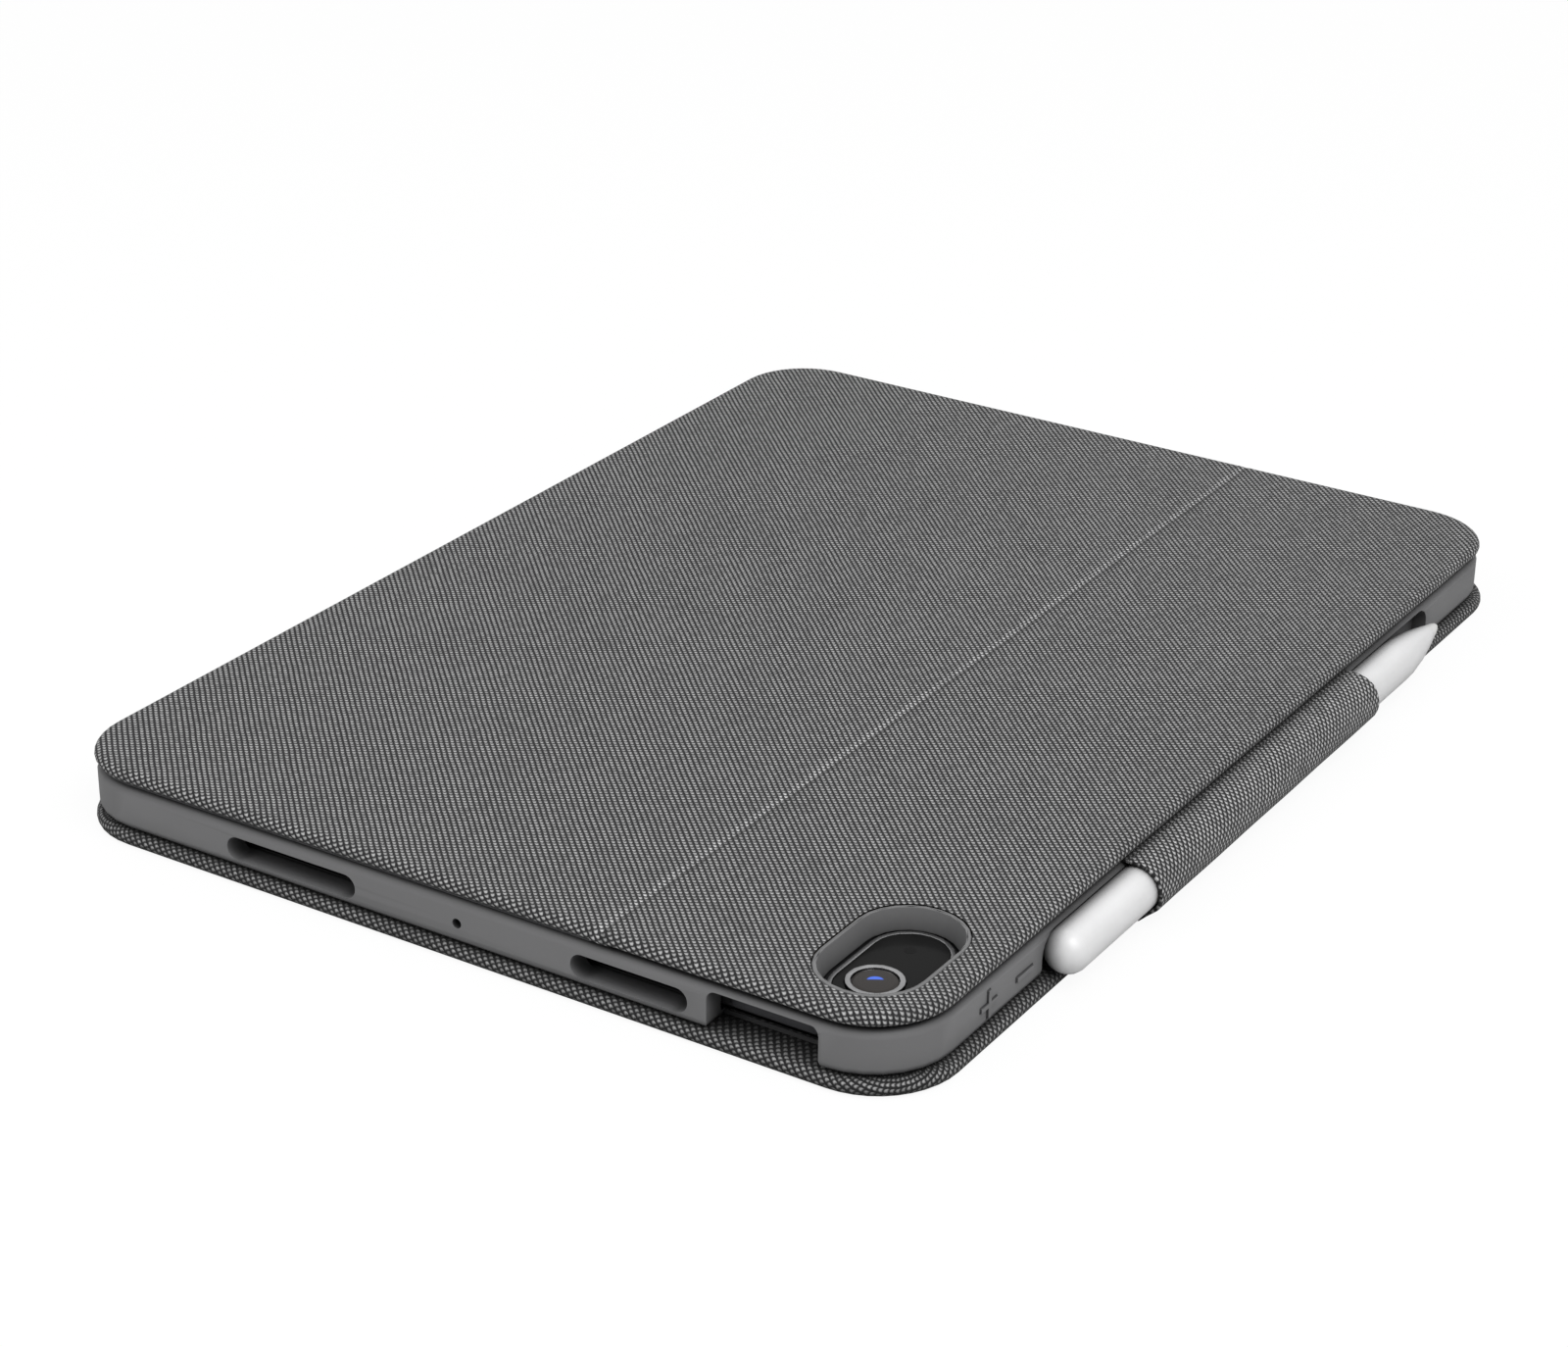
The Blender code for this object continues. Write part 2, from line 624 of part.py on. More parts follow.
def build_camera():
    metal = material("camera_metal", (0.35, 0.35, 0.36), 0.3, 1.0)
    glass = material("camera_black", (0.01, 0.01, 0.012), 0.1)
    lens_glass = material("lens_glass", (0.05, 0.03, 0.02), 0.05)
    lens_x, lens_y = CAMERA_X - 5.5, CAMERA_Y
    ring = prism("camera_plate", pill(CAMERA_X, CAMERA_Y, 28.6, 16.0), 11.2, 11.6, metal)
    boolean(ring, prism("cut_camera_plate", pill(CAMERA_X, CAMERA_Y, 26.8, 14.2), 11, 14, cutter=True))
    cover = prism("camera_window", pill(CAMERA_X, CAMERA_Y, 26.5, 13.9), 11.2, 11.55, glass)
    seat = arc(lens_x, lens_y, 5.5, 0, 345, 23)
    boolean(cover, prism("cut_camera_window", seat, 8, 14, cutter=True))
    outer = prism("lens_ring", arc(lens_x, lens_y, 5.3, 0, 345, 23), 11.2, 12.1, metal)
    boolean(outer, prism("cut_lens_ring", arc(lens_x, lens_y, 4.3, 0, 345, 23), 11.45, 14, cutter=True))
    prism("camera_lens", arc(lens_x, lens_y, 4.1, 0, 345, 23), 11.55, 11.95, lens_glass)


# Stylus and latch


def build_stylus():
    white = material("stylus_white", (0.85, 0.85, 0.85), 0.3)
    r, nose = STYLUS_R, 4.1
    profile = []
    for degrees in (0, 12, 25, 40, 55, 72, 90):
        angle = math.radians(degrees)
        profile.append((STYLUS_START + nose * (1 - math.cos(angle)), r * math.sin(angle)))
    profile += [(64.5, r), (68.5, 4.3), (74.5, 3.6), (79.0, 2.8), (82.9, 1.95), (82.9, 0.0)]
    lathe("stylus_body", profile, STYLUS_Y, STYLUS_Z, white)
    tip_mat = material("stylus_tip_white", (0.8, 0.8, 0.8), 0.35)
    tip = [(83.0, 0.0), (83.0, 1.9), (86.0, 1.3), (87.5, 0.85), (88.05, 0.45), (STYLUS_END, 0.0)]
    lathe("stylus_tip", tip, STYLUS_Y, STYLUS_Z, tip_mat, 16)


def latch_centreline():
    """(y, z) points along the middle of the strap, from its root to its free end."""
    points = [(-94.05, 12.4), (-94.9, 12.38)]
    points += arc(STYLUS_Y, STYLUS_Z, LATCH_ARC_R, 90, 214, 11)
    return points + [(-96.5, 1.0)]


def offset_line(points, distance):
    """The line moved sideways by a distance."""
    moved = []
    for i, (y, z) in enumerate(points):
        y0, z0 = points[max(i - 1, 0)]
        y1, z1 = points[min(i + 1, len(points) - 1)]
        length = math.hypot(y1 - y0, z1 - z0)
        moved.append((y + (z1 - z0) / length * distance, z - (y1 - y0) / length * distance))
    return moved


def build_latch():
    """The fabric strap that wraps the stylus, with a magnet bar in its free end."""
    cloth = material("strap_weave", (0.12, 0.12, 0.12), 0.9)
    line = latch_centreline()
    outer = offset_line(line, -LATCH_THICK / 2)
    inner = offset_line(line, LATCH_THICK / 2)
    pivot = ((LATCH_START + LATCH_END) / 2, -94.1, 12.4)
    profile = outer + inner[::-1]
    prism("latch_strap", profile, LATCH_START, LATCH_END, cloth, axis="X", pivot=pivot)


clear_scene()
build_cover()
build_keys()
build_deck()
build_spine()
build_frame()
build_buttons()
build_holder_inside()
build_back()
build_kickstand()
build_crease()
build_tablet()
build_camera()
build_stylus()
build_latch()
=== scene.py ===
"""Looks for the tablet keyboard case: fabric, moulded frame, stylus, keys, floor, light and camera."""

import json
import math

import bmesh
import bpy
from mathutils import Matrix, Vector

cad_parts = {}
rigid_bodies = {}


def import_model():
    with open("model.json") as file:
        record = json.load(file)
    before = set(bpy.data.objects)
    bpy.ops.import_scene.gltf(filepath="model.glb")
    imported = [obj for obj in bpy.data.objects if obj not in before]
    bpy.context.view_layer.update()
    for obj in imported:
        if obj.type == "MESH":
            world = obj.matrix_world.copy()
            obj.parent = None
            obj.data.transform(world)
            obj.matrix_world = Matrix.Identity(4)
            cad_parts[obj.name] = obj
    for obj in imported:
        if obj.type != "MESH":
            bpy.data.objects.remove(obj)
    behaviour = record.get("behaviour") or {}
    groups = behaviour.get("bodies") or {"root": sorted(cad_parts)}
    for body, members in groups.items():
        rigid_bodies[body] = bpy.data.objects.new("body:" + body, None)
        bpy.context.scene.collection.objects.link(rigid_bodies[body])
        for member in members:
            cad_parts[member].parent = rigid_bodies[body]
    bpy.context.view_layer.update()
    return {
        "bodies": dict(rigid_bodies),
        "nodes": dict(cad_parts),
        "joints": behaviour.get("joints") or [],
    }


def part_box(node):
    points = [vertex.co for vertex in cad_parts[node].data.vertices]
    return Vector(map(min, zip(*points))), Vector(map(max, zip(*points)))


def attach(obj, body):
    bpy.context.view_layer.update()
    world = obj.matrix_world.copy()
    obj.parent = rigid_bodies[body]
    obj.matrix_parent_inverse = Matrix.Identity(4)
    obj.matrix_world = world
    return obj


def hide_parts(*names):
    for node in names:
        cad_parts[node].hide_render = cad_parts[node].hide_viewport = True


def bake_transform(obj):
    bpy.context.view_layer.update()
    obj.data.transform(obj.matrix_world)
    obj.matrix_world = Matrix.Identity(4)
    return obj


MM = 0.001
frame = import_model()
NODES = frame["nodes"]

# The weave repeats every WEAVE mm along both edges of the panel, with a second bead in the middle
WEAVE = 1.487
PANEL_CORNER, CREASE_CORNER, COVER_CORNER = 16.4, 0.4, 16.8
DECK_MARGIN = 8.6
STRAP_RADIUS = 5.15
CAMERA_PLACE = (-0.56262, -0.34121, 0.31998)
CAMERA_FORWARD = (0.7641, 0.4796, -0.4315)
CAMERA_LENS, CAMERA_ROLL = 81.05, 0.75
KEY_NODES = [name for name in NODES if name.startswith("keys_") or name == "space_bar"]


def joint_mm(name):
    """A joint's place at rest, in millimetres."""
    joints = {joint["name"]: joint for joint in frame["joints"]}
    return [c / MM for c in joints[name]["pos_m"]]


def box_mm(node):
    """Lowest and highest corner of a CAD node, in millimetres."""
    low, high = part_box(node)
    return [value / MM for value in low], [value / MM for value in high]


# Node graphs


class Graph:
    """Short calls for building a material's nodes."""

    def __init__(self, name):
        self.material = bpy.data.materials.new(name)
        self.material.use_nodes = True
        self.tree = self.material.node_tree
        self.shader = self.tree.nodes["Principled BSDF"]

    def node(self, kind, **settings):
        made = self.tree.nodes.new("ShaderNode" + kind)
        for key, value in settings.items():
            setattr(made, key, value)
        return made

    def feed(self, socket, value):
        if isinstance(value, bpy.types.NodeSocket):
            self.tree.links.new(value, socket)
        elif hasattr(socket.default_value, "__len__") and not hasattr(value, "__len__"):
            socket.default_value = [value] * len(socket.default_value)
        elif hasattr(value, "__len__") and len(value) == 3 and len(socket.default_value) == 4:
            socket.default_value = (*value, 1.0)
        else:
            socket.default_value = value

    def math(self, operation, first, second=None, third=None, clamp=False):
        made = self.node("Math", operation=operation, use_clamp=clamp)
        for socket, value in zip(made.inputs, (first, second, third)):
            if value is not None:
                self.feed(socket, value)
        return made.outputs[0]

    def vector(self, operation, first, second=None):
        made = self.node("VectorMath", operation=operation)
        self.feed(made.inputs[0], first)
        if second is not None:
            self.feed(made.inputs[1], second)
        if operation in ("DOT_PRODUCT", "LENGTH", "DISTANCE"):
            return made.outputs["Value"]
        return made.outputs[0]

    def combine(self, x, y, z=0.0):
        made = self.node("CombineXYZ")
        for socket, value in zip(made.inputs, (x, y, z)):
            self.feed(socket, value)
        return made.outputs[0]

    def mix(self, factor, first, second, blend="MIX"):
        made = self.node("Mix", data_type="RGBA", blend_type=blend)
        self.feed(made.inputs[0], factor)
        self.feed(made.inputs[6], first)
        self.feed(made.inputs[7], second)
        return made.outputs[2]

    def ramp(self, value, low, high):
        """A smooth step from 0 at low to 1 at high."""
        made = self.node("MapRange", interpolation_type="SMOOTHSTEP")
        for socket, number in zip(made.inputs, (value, low, high, 0.0, 1.0)):
            self.feed(socket, number)
        return made.outputs[0]

    def noise(self, vector, scale, detail=2.0, roughness=0.5):
        made = self.node("TexNoise")
        self.feed(made.inputs["Vector"], vector)
        self.feed(made.inputs["Scale"], scale)
        self.feed(made.inputs["Detail"], detail)
        self.feed(made.inputs["Roughness"], roughness)
        return made.outputs["Fac"]

    def object_mm(self):
        """The object's own coordinates in millimetres."""
        return self.scaled(self.node("TexCoord").outputs["Object"], 1000)

    def scaled(self, vector, factor):
        made = self.node("VectorMath", operation="SCALE")
        self.feed(made.inputs[0], vector)
        made.inputs["Scale"].default_value = factor
        return made.outputs[0]

    def bump(self, height, distance_mm, strength=1.0, normal=None):
        made = self.node("Bump")
        self.feed(made.inputs["Height"], height)
        self.feed(made.inputs["Distance"], distance_mm * MM)
        self.feed(made.inputs["Strength"], strength)
        if normal is not None:
            self.feed(made.inputs["Normal"], normal)
        return made.outputs[0]

    def crevice(self, reach_mm, least):
        """1 in the open, falling towards least where other surfaces crowd in."""
        made = self.node("AmbientOcclusion", samples=6)
        made.inputs["Distance"].default_value = reach_mm * MM
        open_sky = self.math("MULTIPLY", self.math("POWER", made.outputs["AO"], 1.5), 1.0 - least)
        return self.math("ADD", open_sky, least)

    def shaded(self, colour, reach_mm, least):
        """colour, darkened by painted shade in crevices where other surfaces crowd in."""
        share = self.crevice(reach_mm, least)
        return self.mix(1.0, colour, self.combine(share, share, share), "MULTIPLY")

    def finish(self, **inputs):
        for key, value in inputs.items():
            name = key.replace("_", " ")
            self.feed(self.shader.inputs[name], value)
        return self.material


def weave(name, dark=(0.016, 0.016, 0.017), light=(0.47, 0.47, 0.47), ridge=None, least=0.05):
    """Two-tone twill: ribs at 45 degrees made of light, slightly hooked beads. UVs are in millimetres.

    ridge is the v of a painted highlight along the crease, with a line of painted shade 1.3 mm below it."""
    g = Graph(name)
    uv = g.node("UVMap").outputs[0]
    split = g.node("SeparateXYZ")
    g.feed(split.inputs[0], uv)
    u, v = split.outputs[0], split.outputs[1]
    drift = g.math("MULTIPLY", g.math("SUBTRACT", g.noise(uv, 0.12, 1.0), 0.5), 0.3)
    across = g.math("ADD", g.math("DIVIDE", g.math("SUBTRACT", u, v), WEAVE), drift)
    along = g.math("DIVIDE", g.math("ADD", u, v), WEAVE)
    place = g.math("FRACT", across)
    rib = g.math("MULTIPLY", g.ramp(place, 0.04, 0.32), g.math("SUBTRACT", 1.0, g.ramp(place, 0.55, 0.97)))
    offset = g.math("SUBTRACT", place, 0.5)
    hook = g.math("MULTIPLY", g.math("MULTIPLY", offset, offset), 1.6)
    lean = g.math("ADD", along, g.math("SUBTRACT", g.math("MULTIPLY", place, 0.22), hook))
    row = g.math("FLOOR", across)
    lean = g.math("ADD", lean, g.math("MULTIPLY", row, 0.22))
    wave = g.math("COSINE", g.math("MULTIPLY", lean, 2 * math.pi))
    bead = g.math("SUBTRACT", 0.5, g.math("MULTIPLY", wave, 0.5))
    height = g.math("MULTIPLY", rib, g.math("ADD", g.math("MULTIPLY", bead, 0.86), 0.14))
    random = g.node("TexWhiteNoise", noise_dimensions="2D")
    g.feed(random.inputs["Vector"], g.combine(row, g.math("FLOOR", lean)))
    flecks = g.math("ADD", g.math("MULTIPLY", random.outputs["Value"], 0.5), 0.7)
    fibre = g.noise(g.combine(g.math("MULTIPLY", across, 3.0), g.math("MULTIPLY", along, 14.0)), 2.2, 3.0)
    patch = g.noise(uv, 0.035, 2.0)
    tone = g.math("MULTIPLY", g.ramp(height, 0.05, 0.95), flecks)
    tone = g.math("MULTIPLY", tone, g.math("ADD", g.math("MULTIPLY", fibre, 0.5), 0.75))
    tone = g.math("MULTIPLY", tone, g.math("ADD", g.math("MULTIPLY", patch, 0.3), 0.85), clamp=True)
    raised = g.math("ADD", height, g.math("MULTIPLY", fibre, 0.12))
    colour = g.mix(tone, dark, light)
    # Painted highlight and painted shade along the crease: beads lighter on a line at ridge, darker on a
    # line 1.3 mm below it.
    if ridge is not None:
        painted_highlight = g.math("SUBTRACT", 1.0, g.ramp(g.math("ABSOLUTE", g.math("SUBTRACT", v, ridge)), 0.45, 0.9))
        below = g.math("ABSOLUTE", g.math("SUBTRACT", v, ridge - 1.3))
        painted_shade_line = g.math("MULTIPLY", g.math("SUBTRACT", 1.0, g.ramp(below, 0.2, 0.6)), 0.4)
        painted_light_gain = g.math("SUBTRACT", g.math("ADD", g.math("MULTIPLY", painted_highlight, 0.5), 1.0), painted_shade_line)
        colour = g.mix(1.0, colour, g.combine(painted_light_gain, painted_light_gain, painted_light_gain), "MULTIPLY")
    return g.finish(
        # Painted shade: the twill's colour darkens in crevices, reaching 8 mm, down to least.
        Base_Color=g.shaded(colour, 8.0, least),
        Roughness=0.85,
        Specular_IOR_Level=0.3,
        Sheen_Weight=0.08,
        Sheen_Roughness=0.5,
        Normal=g.bump(raised, 0.3, 0.9),
    )


def moulded(name, colour, roughness=0.5, grain=0.012, mottle=0.06, edge_lightening=0.12, scale=3.0, specular=0.4):
    """Moulded plastic or elastomer: fine grain, slightly uneven tone, lighter convex edges, and painted
    shade in crevices.
    """
    g = Graph(name)
    place = g.object_mm()
    fine = g.noise(place, scale, 3.0, 0.6)
    cloud = g.noise(place, 0.05, 2.0)
    tone = g.math("ADD", g.math("MULTIPLY", cloud, 2 * mottle), 1.0 - mottle)
    base = g.mix(1.0, colour, g.combine(tone, tone, tone), "MULTIPLY")
    edge = g.ramp(g.node("NewGeometry").outputs["Pointiness"], 0.5, 0.62)
    base = g.mix(g.math("MULTIPLY", edge, edge_lightening), base, [min(1, 2.2 * c + 0.05) for c in colour])
    rough = g.math("ADD", g.math("MULTIPLY", g.math("SUBTRACT", fine, 0.5), 0.16), roughness)
    return g.finish(
        # Painted shade: the colour darkens in crevices, reaching 5 mm.
        Base_Color=g.shaded(base, 5.0, 0.1),
        Roughness=rough,
        Specular_IOR_Level=specular,
        Normal=g.bump(fine, grain, 0.6),
    )


def metal(name, colour, roughness=0.3, brushed=False, metallic=1.0):
    """Anodised or plated metal with a fine blasted or brushed surface."""
    g = Graph(name)
    place = g.object_mm()
    if brushed:
        place = g.vector("MULTIPLY", place, (0.15, 6.0, 6.0))
    fine = g.noise(place, 4.0, 3.0, 0.6)
    cloud = g.noise(g.object_mm(), 0.08, 2.0)
    tone = g.math("ADD", g.math("MULTIPLY", cloud, 0.14), 0.93)
    rough = g.math("ADD", g.math("MULTIPLY", fine, 0.14), roughness - 0.07)
    return g.finish(
        # Painted shade: the colour darkens in crevices, reaching 6 mm.
        Base_Color=g.shaded(g.mix(1.0, colour, g.combine(tone, tone, tone), "MULTIPLY"), 6.0, 0.1),
        Metallic=metallic,
        Roughness=rough,
        Normal=g.bump(fine, 0.006, 0.5),
    )


def glossy(name, colour, roughness=0.07, coat=0.5, smudge=0.12, specular=0.5):
    """Glass or lacquer with faint smudges."""
    g = Graph(name)
    marks = g.noise(g.object_mm(), 0.12, 4.0, 0.65)
    rough = g.math("ADD", g.math("MULTIPLY", g.ramp(marks, 0.45, 0.75), smudge), roughness)
    tone = g.math("ADD", g.math("MULTIPLY", marks, 0.16), 0.92)
    return g.finish(
        # Painted shade: the colour darkens in crevices, reaching 5 mm.
        Base_Color=g.shaded(g.mix(1.0, colour, g.combine(tone, tone, tone), "MULTIPLY"), 5.0, 0.3),
        Roughness=rough,
        Specular_IOR_Level=specular,
        Coat_Weight=coat,
        Coat_Roughness=0.04,
    )


def suede(name, colour):
    """Brushed lining cloth: short pile with directional patches."""
    g = Graph(name)
    place = g.object_mm()
    pile = g.noise(place, 5.0, 4.0, 0.7)
    brushed = g.noise(g.vector("MULTIPLY", place, (0.02, 0.05, 0.05)), 1.0, 3.0)
    tone = g.math("ADD", g.math("MULTIPLY", pile, 0.5), g.math("MULTIPLY", brushed, 0.5))
    return g.finish(
        Base_Color=g.mix(tone, [c * 0.6 for c in colour], [min(1, c * 1.5) for c in colour]),
        Roughness=0.95,
        Sheen_Weight=0.4,
        Normal=g.bump(pile, 0.08, 0.7),
    )


# Mesh building. Rings are lists of ((x, y, z), (u, v)) in millimetres


def arc_points(cx, cy, radius, start, end, steps):
    return [
        (
            cx + radius * math.cos(math.radians(start + (end - start) * i / steps)),
            cy + radius * math.sin(math.radians(start + (end - start) * i / steps)),
        )
        for i in range(steps + 1)
    ]


def plan_outline(bounds, radii, inset=0.0, crease=None, steps=10, side=14):
    """Points and outward directions round a board's plan, moved inwards by inset.

    radii are for the corners (+x, +y), (-x, +y), (-x, -y), (+x, -y). The side named by crease, "rear" or
    "front", has an almost upright edge and sharp corners."""
    x0, y0, x1, y1 = bounds
    upright = min(0.3 * inset, 0.5)
    rear = upright if crease == "rear" else inset
    front = upright if crease == "front" else inset
    x0, x1, y0, y1 = x0 + inset, x1 - inset, y0 + front, y1 - rear
    corners = ((x1, y1, 1, 1, 0), (x0, y1, -1, 1, 90), (x0, y0, -1, -1, 180), (x1, y0, 1, -1, 270))
    outline = []
    for (x, y, sx, sy, start), radius in zip(corners, radii):
        bend = max(radius - inset, 0.3)
        for i in range(steps + 1):
            angle = math.radians(start + 90 * i / steps)
            nx, ny = math.cos(angle), math.sin(angle)
            outline.append(((x - sx * bend + bend * nx, y - sy * bend + bend * ny), (nx, ny)))
    dense = []
    count = len(outline)
    for i, (point, normal) in enumerate(outline):
        dense.append((point, normal))
        after, _ = outline[(i + 1) % count]
        if i % (steps + 1) == steps:
            for k in range(1, side):
                t = k / side
                x = point[0] + (after[0] - point[0]) * t
                y = point[1] + (after[1] - point[1]) * t
                dense.append(((x, y), normal))
    return dense


def skin_rings(bounds, radii, profile, crease=None):
    """Rings round a wrapped board from (inset, z, arc length past the edge)."""
    edge = plan_outline(bounds, radii, 0.0, crease)
    rings = []
    for inset, z, past in profile:
        ring = []
        for (point, _), (rim, normal) in zip(plan_outline(bounds, radii, inset, crease), edge):
            uv = point if past <= 0 else (rim[0] + normal[0] * past, rim[1] + normal[1] * past)
            ring.append(((point[0], point[1], z), uv))
        rings.append(ring)
    return rings


def ring_mesh(name, rings, mat, fill=("first",), flip=False):
    """A surface through closed rings, with UVs, and its first or last ring filled."""
    bm = bmesh.new()
    layer = bm.loops.layers.uv.new("UVMap")
    made = [[(bm.verts.new([c * MM for c in place]), uv) for place, uv in ring] for ring in rings]
    for first, second in zip(made, made[1:]):
        count = len(first)
        for i in range(count):
            j = (i + 1) % count
            add_face(bm, layer, [first[i], second[i], second[j], first[j]], flip)
    if "first" in fill:
        add_face(bm, layer, made[0], flip)
    if "last" in fill:
        add_face(bm, layer, made[-1][::-1], flip)
    return mesh_object(name, bm, mat)


def add_face(bm, layer, corners, flip=False):
    if flip:
        corners = corners[::-1]
    face = bm.faces.new([vert for vert, _ in corners])
    for loop, (_, uv) in zip(face.loops, corners):
        loop[layer].uv = uv
    face.normal_update()
    face.smooth = abs(face.normal.z) < 0.9999
    return face


def mesh_object(name, bm, mat):
    mesh = bpy.data.meshes.new(name)
    bm.to_mesh(mesh)
    bm.free()
    mesh.materials.append(mat)
    obj = bpy.data.objects.new(name, mesh)
    bpy.context.scene.collection.objects.link(obj)
    return obj


def sheet(name, rows, mat, thickness=0.0):
    """A sheet through rows of ((x, y, z), (u, v)), optionally thickened."""
    bm = bmesh.new()
    layer = bm.loops.layers.uv.new("UVMap")
    made = [[(bm.verts.new([c * MM for c in place]), uv) for place, uv in row] for row in rows]
    for first, second in zip(made, made[1:]):
        for i in range(len(first) - 1):
            add_face(bm, layer, [first[i], second[i], second[i + 1], first[i + 1]])
    obj = mesh_object(name, bm, mat)
    if thickness:
        solid = obj.modifiers.new("thickness", "SOLIDIFY")
        solid.thickness = thickness * MM
        solid.offset = 0.0
        solid.use_even_offset = True
    return obj


def apply_modifiers(obj):
    graph = bpy.context.evaluated_depsgraph_get()
    mesh = bpy.data.meshes.new_from_object(obj.evaluated_get(graph))
    obj.modifiers.clear()
    obj.data = mesh
    return obj


# Fabric


def panel_profile(top, bottom, reach=2.2):
    """How the fabric runs from the flat top round the board's full edge and under it."""
    half = (top - bottom) / 2
    middle = (top + bottom) / 2
    profile = [(9.0, top, 0), (5.0, top, 0), (reach + 0.9, top, 0)]
    past = 0.0
    before = (reach, top)
    for i in range(0, 17):
        angle = math.radians(90 - 180 * i / 16)
        inset, z = reach * (1 - math.cos(angle)), middle + half * math.sin(angle)
        past += math.dist(before, (inset, z))
        before = (inset, z)
        profile.append((inset, z, max(past - reach, 0) if past > reach else 0))
    profile.append((reach + 0.2, bottom + 0.3, past + 0.4 - reach))
    profile.append((reach + 0.2, bottom + 1.2, past + 1.3 - reach))
    return profile


def add_hole(obj, outline, low, high):
    """Cuts a hole through a skin, and keeps its flat top flat-shaded."""
    bm = bmesh.new()
    lower = [bm.verts.new((x * MM, y * MM, low * MM)) for x, y in outline]
    upper = [bm.verts.new((x * MM, y * MM, high * MM)) for x, y in outline]
    bm.faces.new(lower[::-1])
    bm.faces.new(upper)
    count = len(outline)
    for i in range(count):
        j = (i + 1) % count
        bm.faces.new((lower[i], lower[j], upper[j], upper[i]))
    mesh = bpy.data.meshes.new("cutter")
    bm.to_mesh(mesh)
    bm.free()
    cutter = bpy.data.objects.new("cutter", mesh)
    bpy.context.scene.collection.objects.link(cutter)
    modifier = obj.modifiers.new("hole", "BOOLEAN")
    modifier.object = cutter
    modifier.solver = "FAST"
    apply_modifiers(obj)
    bpy.data.objects.remove(cutter, do_unlink=True)
    for polygon in obj.data.polygons:
        polygon.use_smooth = polygon.normal.z < 0.9999


def fixed_skin(cloth):
    """The back panel's fixed skin, with the hole for the camera bezel."""
    low, high = box_mm("back_fabric")
    radii = (CREASE_CORNER, CREASE_CORNER, PANEL_CORNER, PANEL_CORNER)
    bounds = (low[0], low[1], high[0], high[1])
    rings = skin_rings(bounds, radii, panel_profile(high[2], low[2]), "rear")
    skin = ring_mesh("back_cloth", rings, cloth)
    add_hole(skin, bezel_outline(0.05), low[2] - 2, high[2] + 2)
    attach(skin, "holder")
    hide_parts("back_fabric")


def bezel_outline(gap):
    """The camera bezel's outline, a slot with round ends, with gap round it."""
    low, high = box_mm("camera_bezel")
    cx, cy = (low[0] + high[0]) / 2, (low[1] + high[1]) / 2
    half = (high[1] - low[1]) / 2 + gap
    reach = (high[0] - low[0]) / 2 + gap - half
    return arc_points(cx + reach, cy, half, -90, 90, 20) + arc_points(cx - reach, cy, half, 90, 270, 20)


def kickstand_skin(cloth):
    low, high = box_mm("kickstand_fabric")
    radii = (PANEL_CORNER, PANEL_CORNER, CREASE_CORNER, CREASE_CORNER)
    bounds = (low[0], low[1], high[0], high[1])
    rings = skin_rings(bounds, radii, panel_profile(high[2], low[2]), "front")
    skin = ring_mesh("kickstand_cloth", rings, cloth)
    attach(skin, "kickstand")
    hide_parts("kickstand_fabric")


def crease():
    """The fabric over the crease, nearly flush when flat."""
    low, high = box_mm("back_fabric")
    fixed_edge, moving_edge = high[1], box_mm("kickstand_fabric")[0][1]
    middle = (fixed_edge + moving_edge) / 2
    profile = panel_profile(high[2], low[2])[:18]
    run = [past if past > 0 else -inset for inset, _, past in profile]
    across = [(low[0] + inset, z, low[0] - u) for (inset, z, _), u in zip(profile, run)][::-1]
    start, end = across[-1][0], high[0] - profile[0][0]
    flat = [start + (end - start) * k / 50 for k in range(1, 50)]
    across += [(x, high[2], x) for x in flat]
    across += [(high[0] - inset, z, high[0] + u) for (inset, z, _), u in zip(profile, run)]
    start, end, steps = fixed_edge - 0.6, moving_edge + 0.6, 18
    rows = []
    for i in range(steps + 1):
        y = start + (end - start) * i / steps
        dip = max(0.0, 1 - abs(y - middle) / 1.2) ** 1.3
        row = []
        for x, z, u in across:
            row.append(((x, y, z - 0.08 - 0.12 * dip), (u, y)))
        rows.append(row)
    # The crease's twill carries a painted highlight and a line of painted shade.
    strip = sheet("crease_cloth", rows, weave("crease_twill", ridge=middle + 0.45), 0.2)
    apply_modifiers(strip)
    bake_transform(strip)
    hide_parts("crease_strip")


def cover_cloth(cloth):
    """The fabric round the keyboard cover, from the underside over the rim to the deck."""
    low, high = box_mm("cover_shell")
    bounds = (low[0], low[1], high[0], high[1])
    top = high[2]
    profile = [
        (12.0, 0.0, -12.0),
        (4.0, 0.0, -4.0),
        (1.6, 0.0, -1.6),
        (0.75, 0.16, -0.7),
        (0.25, 0.55, -0.1),
        (0.03, 1.1, 0.5),
        (0.03, 1.6, 1.0),
        (0.2, 2.1, 1.5),
        (0.6, 2.5, 2.1),
        (1.2, 2.72, 2.7),
        (2.1, top, 3.6),
        (DECK_MARGIN - 0.35, top, 7.7),
        (DECK_MARGIN - 0.05, top - 0.25, 8.1),
        (DECK_MARGIN, 1.3, 10.0),
    ]
    rings = skin_rings(bounds, (COVER_CORNER,) * 4, [(inset, z, 0) for inset, z, _ in profile])
    edge = plan_outline(bounds, (COVER_CORNER,) * 4)
    spread = []
    for ring, (_, _, past) in zip(rings, profile):
        row = []
        for (place, _), (rim, normal) in zip(ring, edge):
            row.append((place, (rim[0] + normal[0] * past, -rim[1] - normal[1] * past)))
        spread.append(row)
    obj = ring_mesh("cover_cloth", spread, cloth, flip=True)
    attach(obj, "keyboard_cover")
    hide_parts("cover_shell")


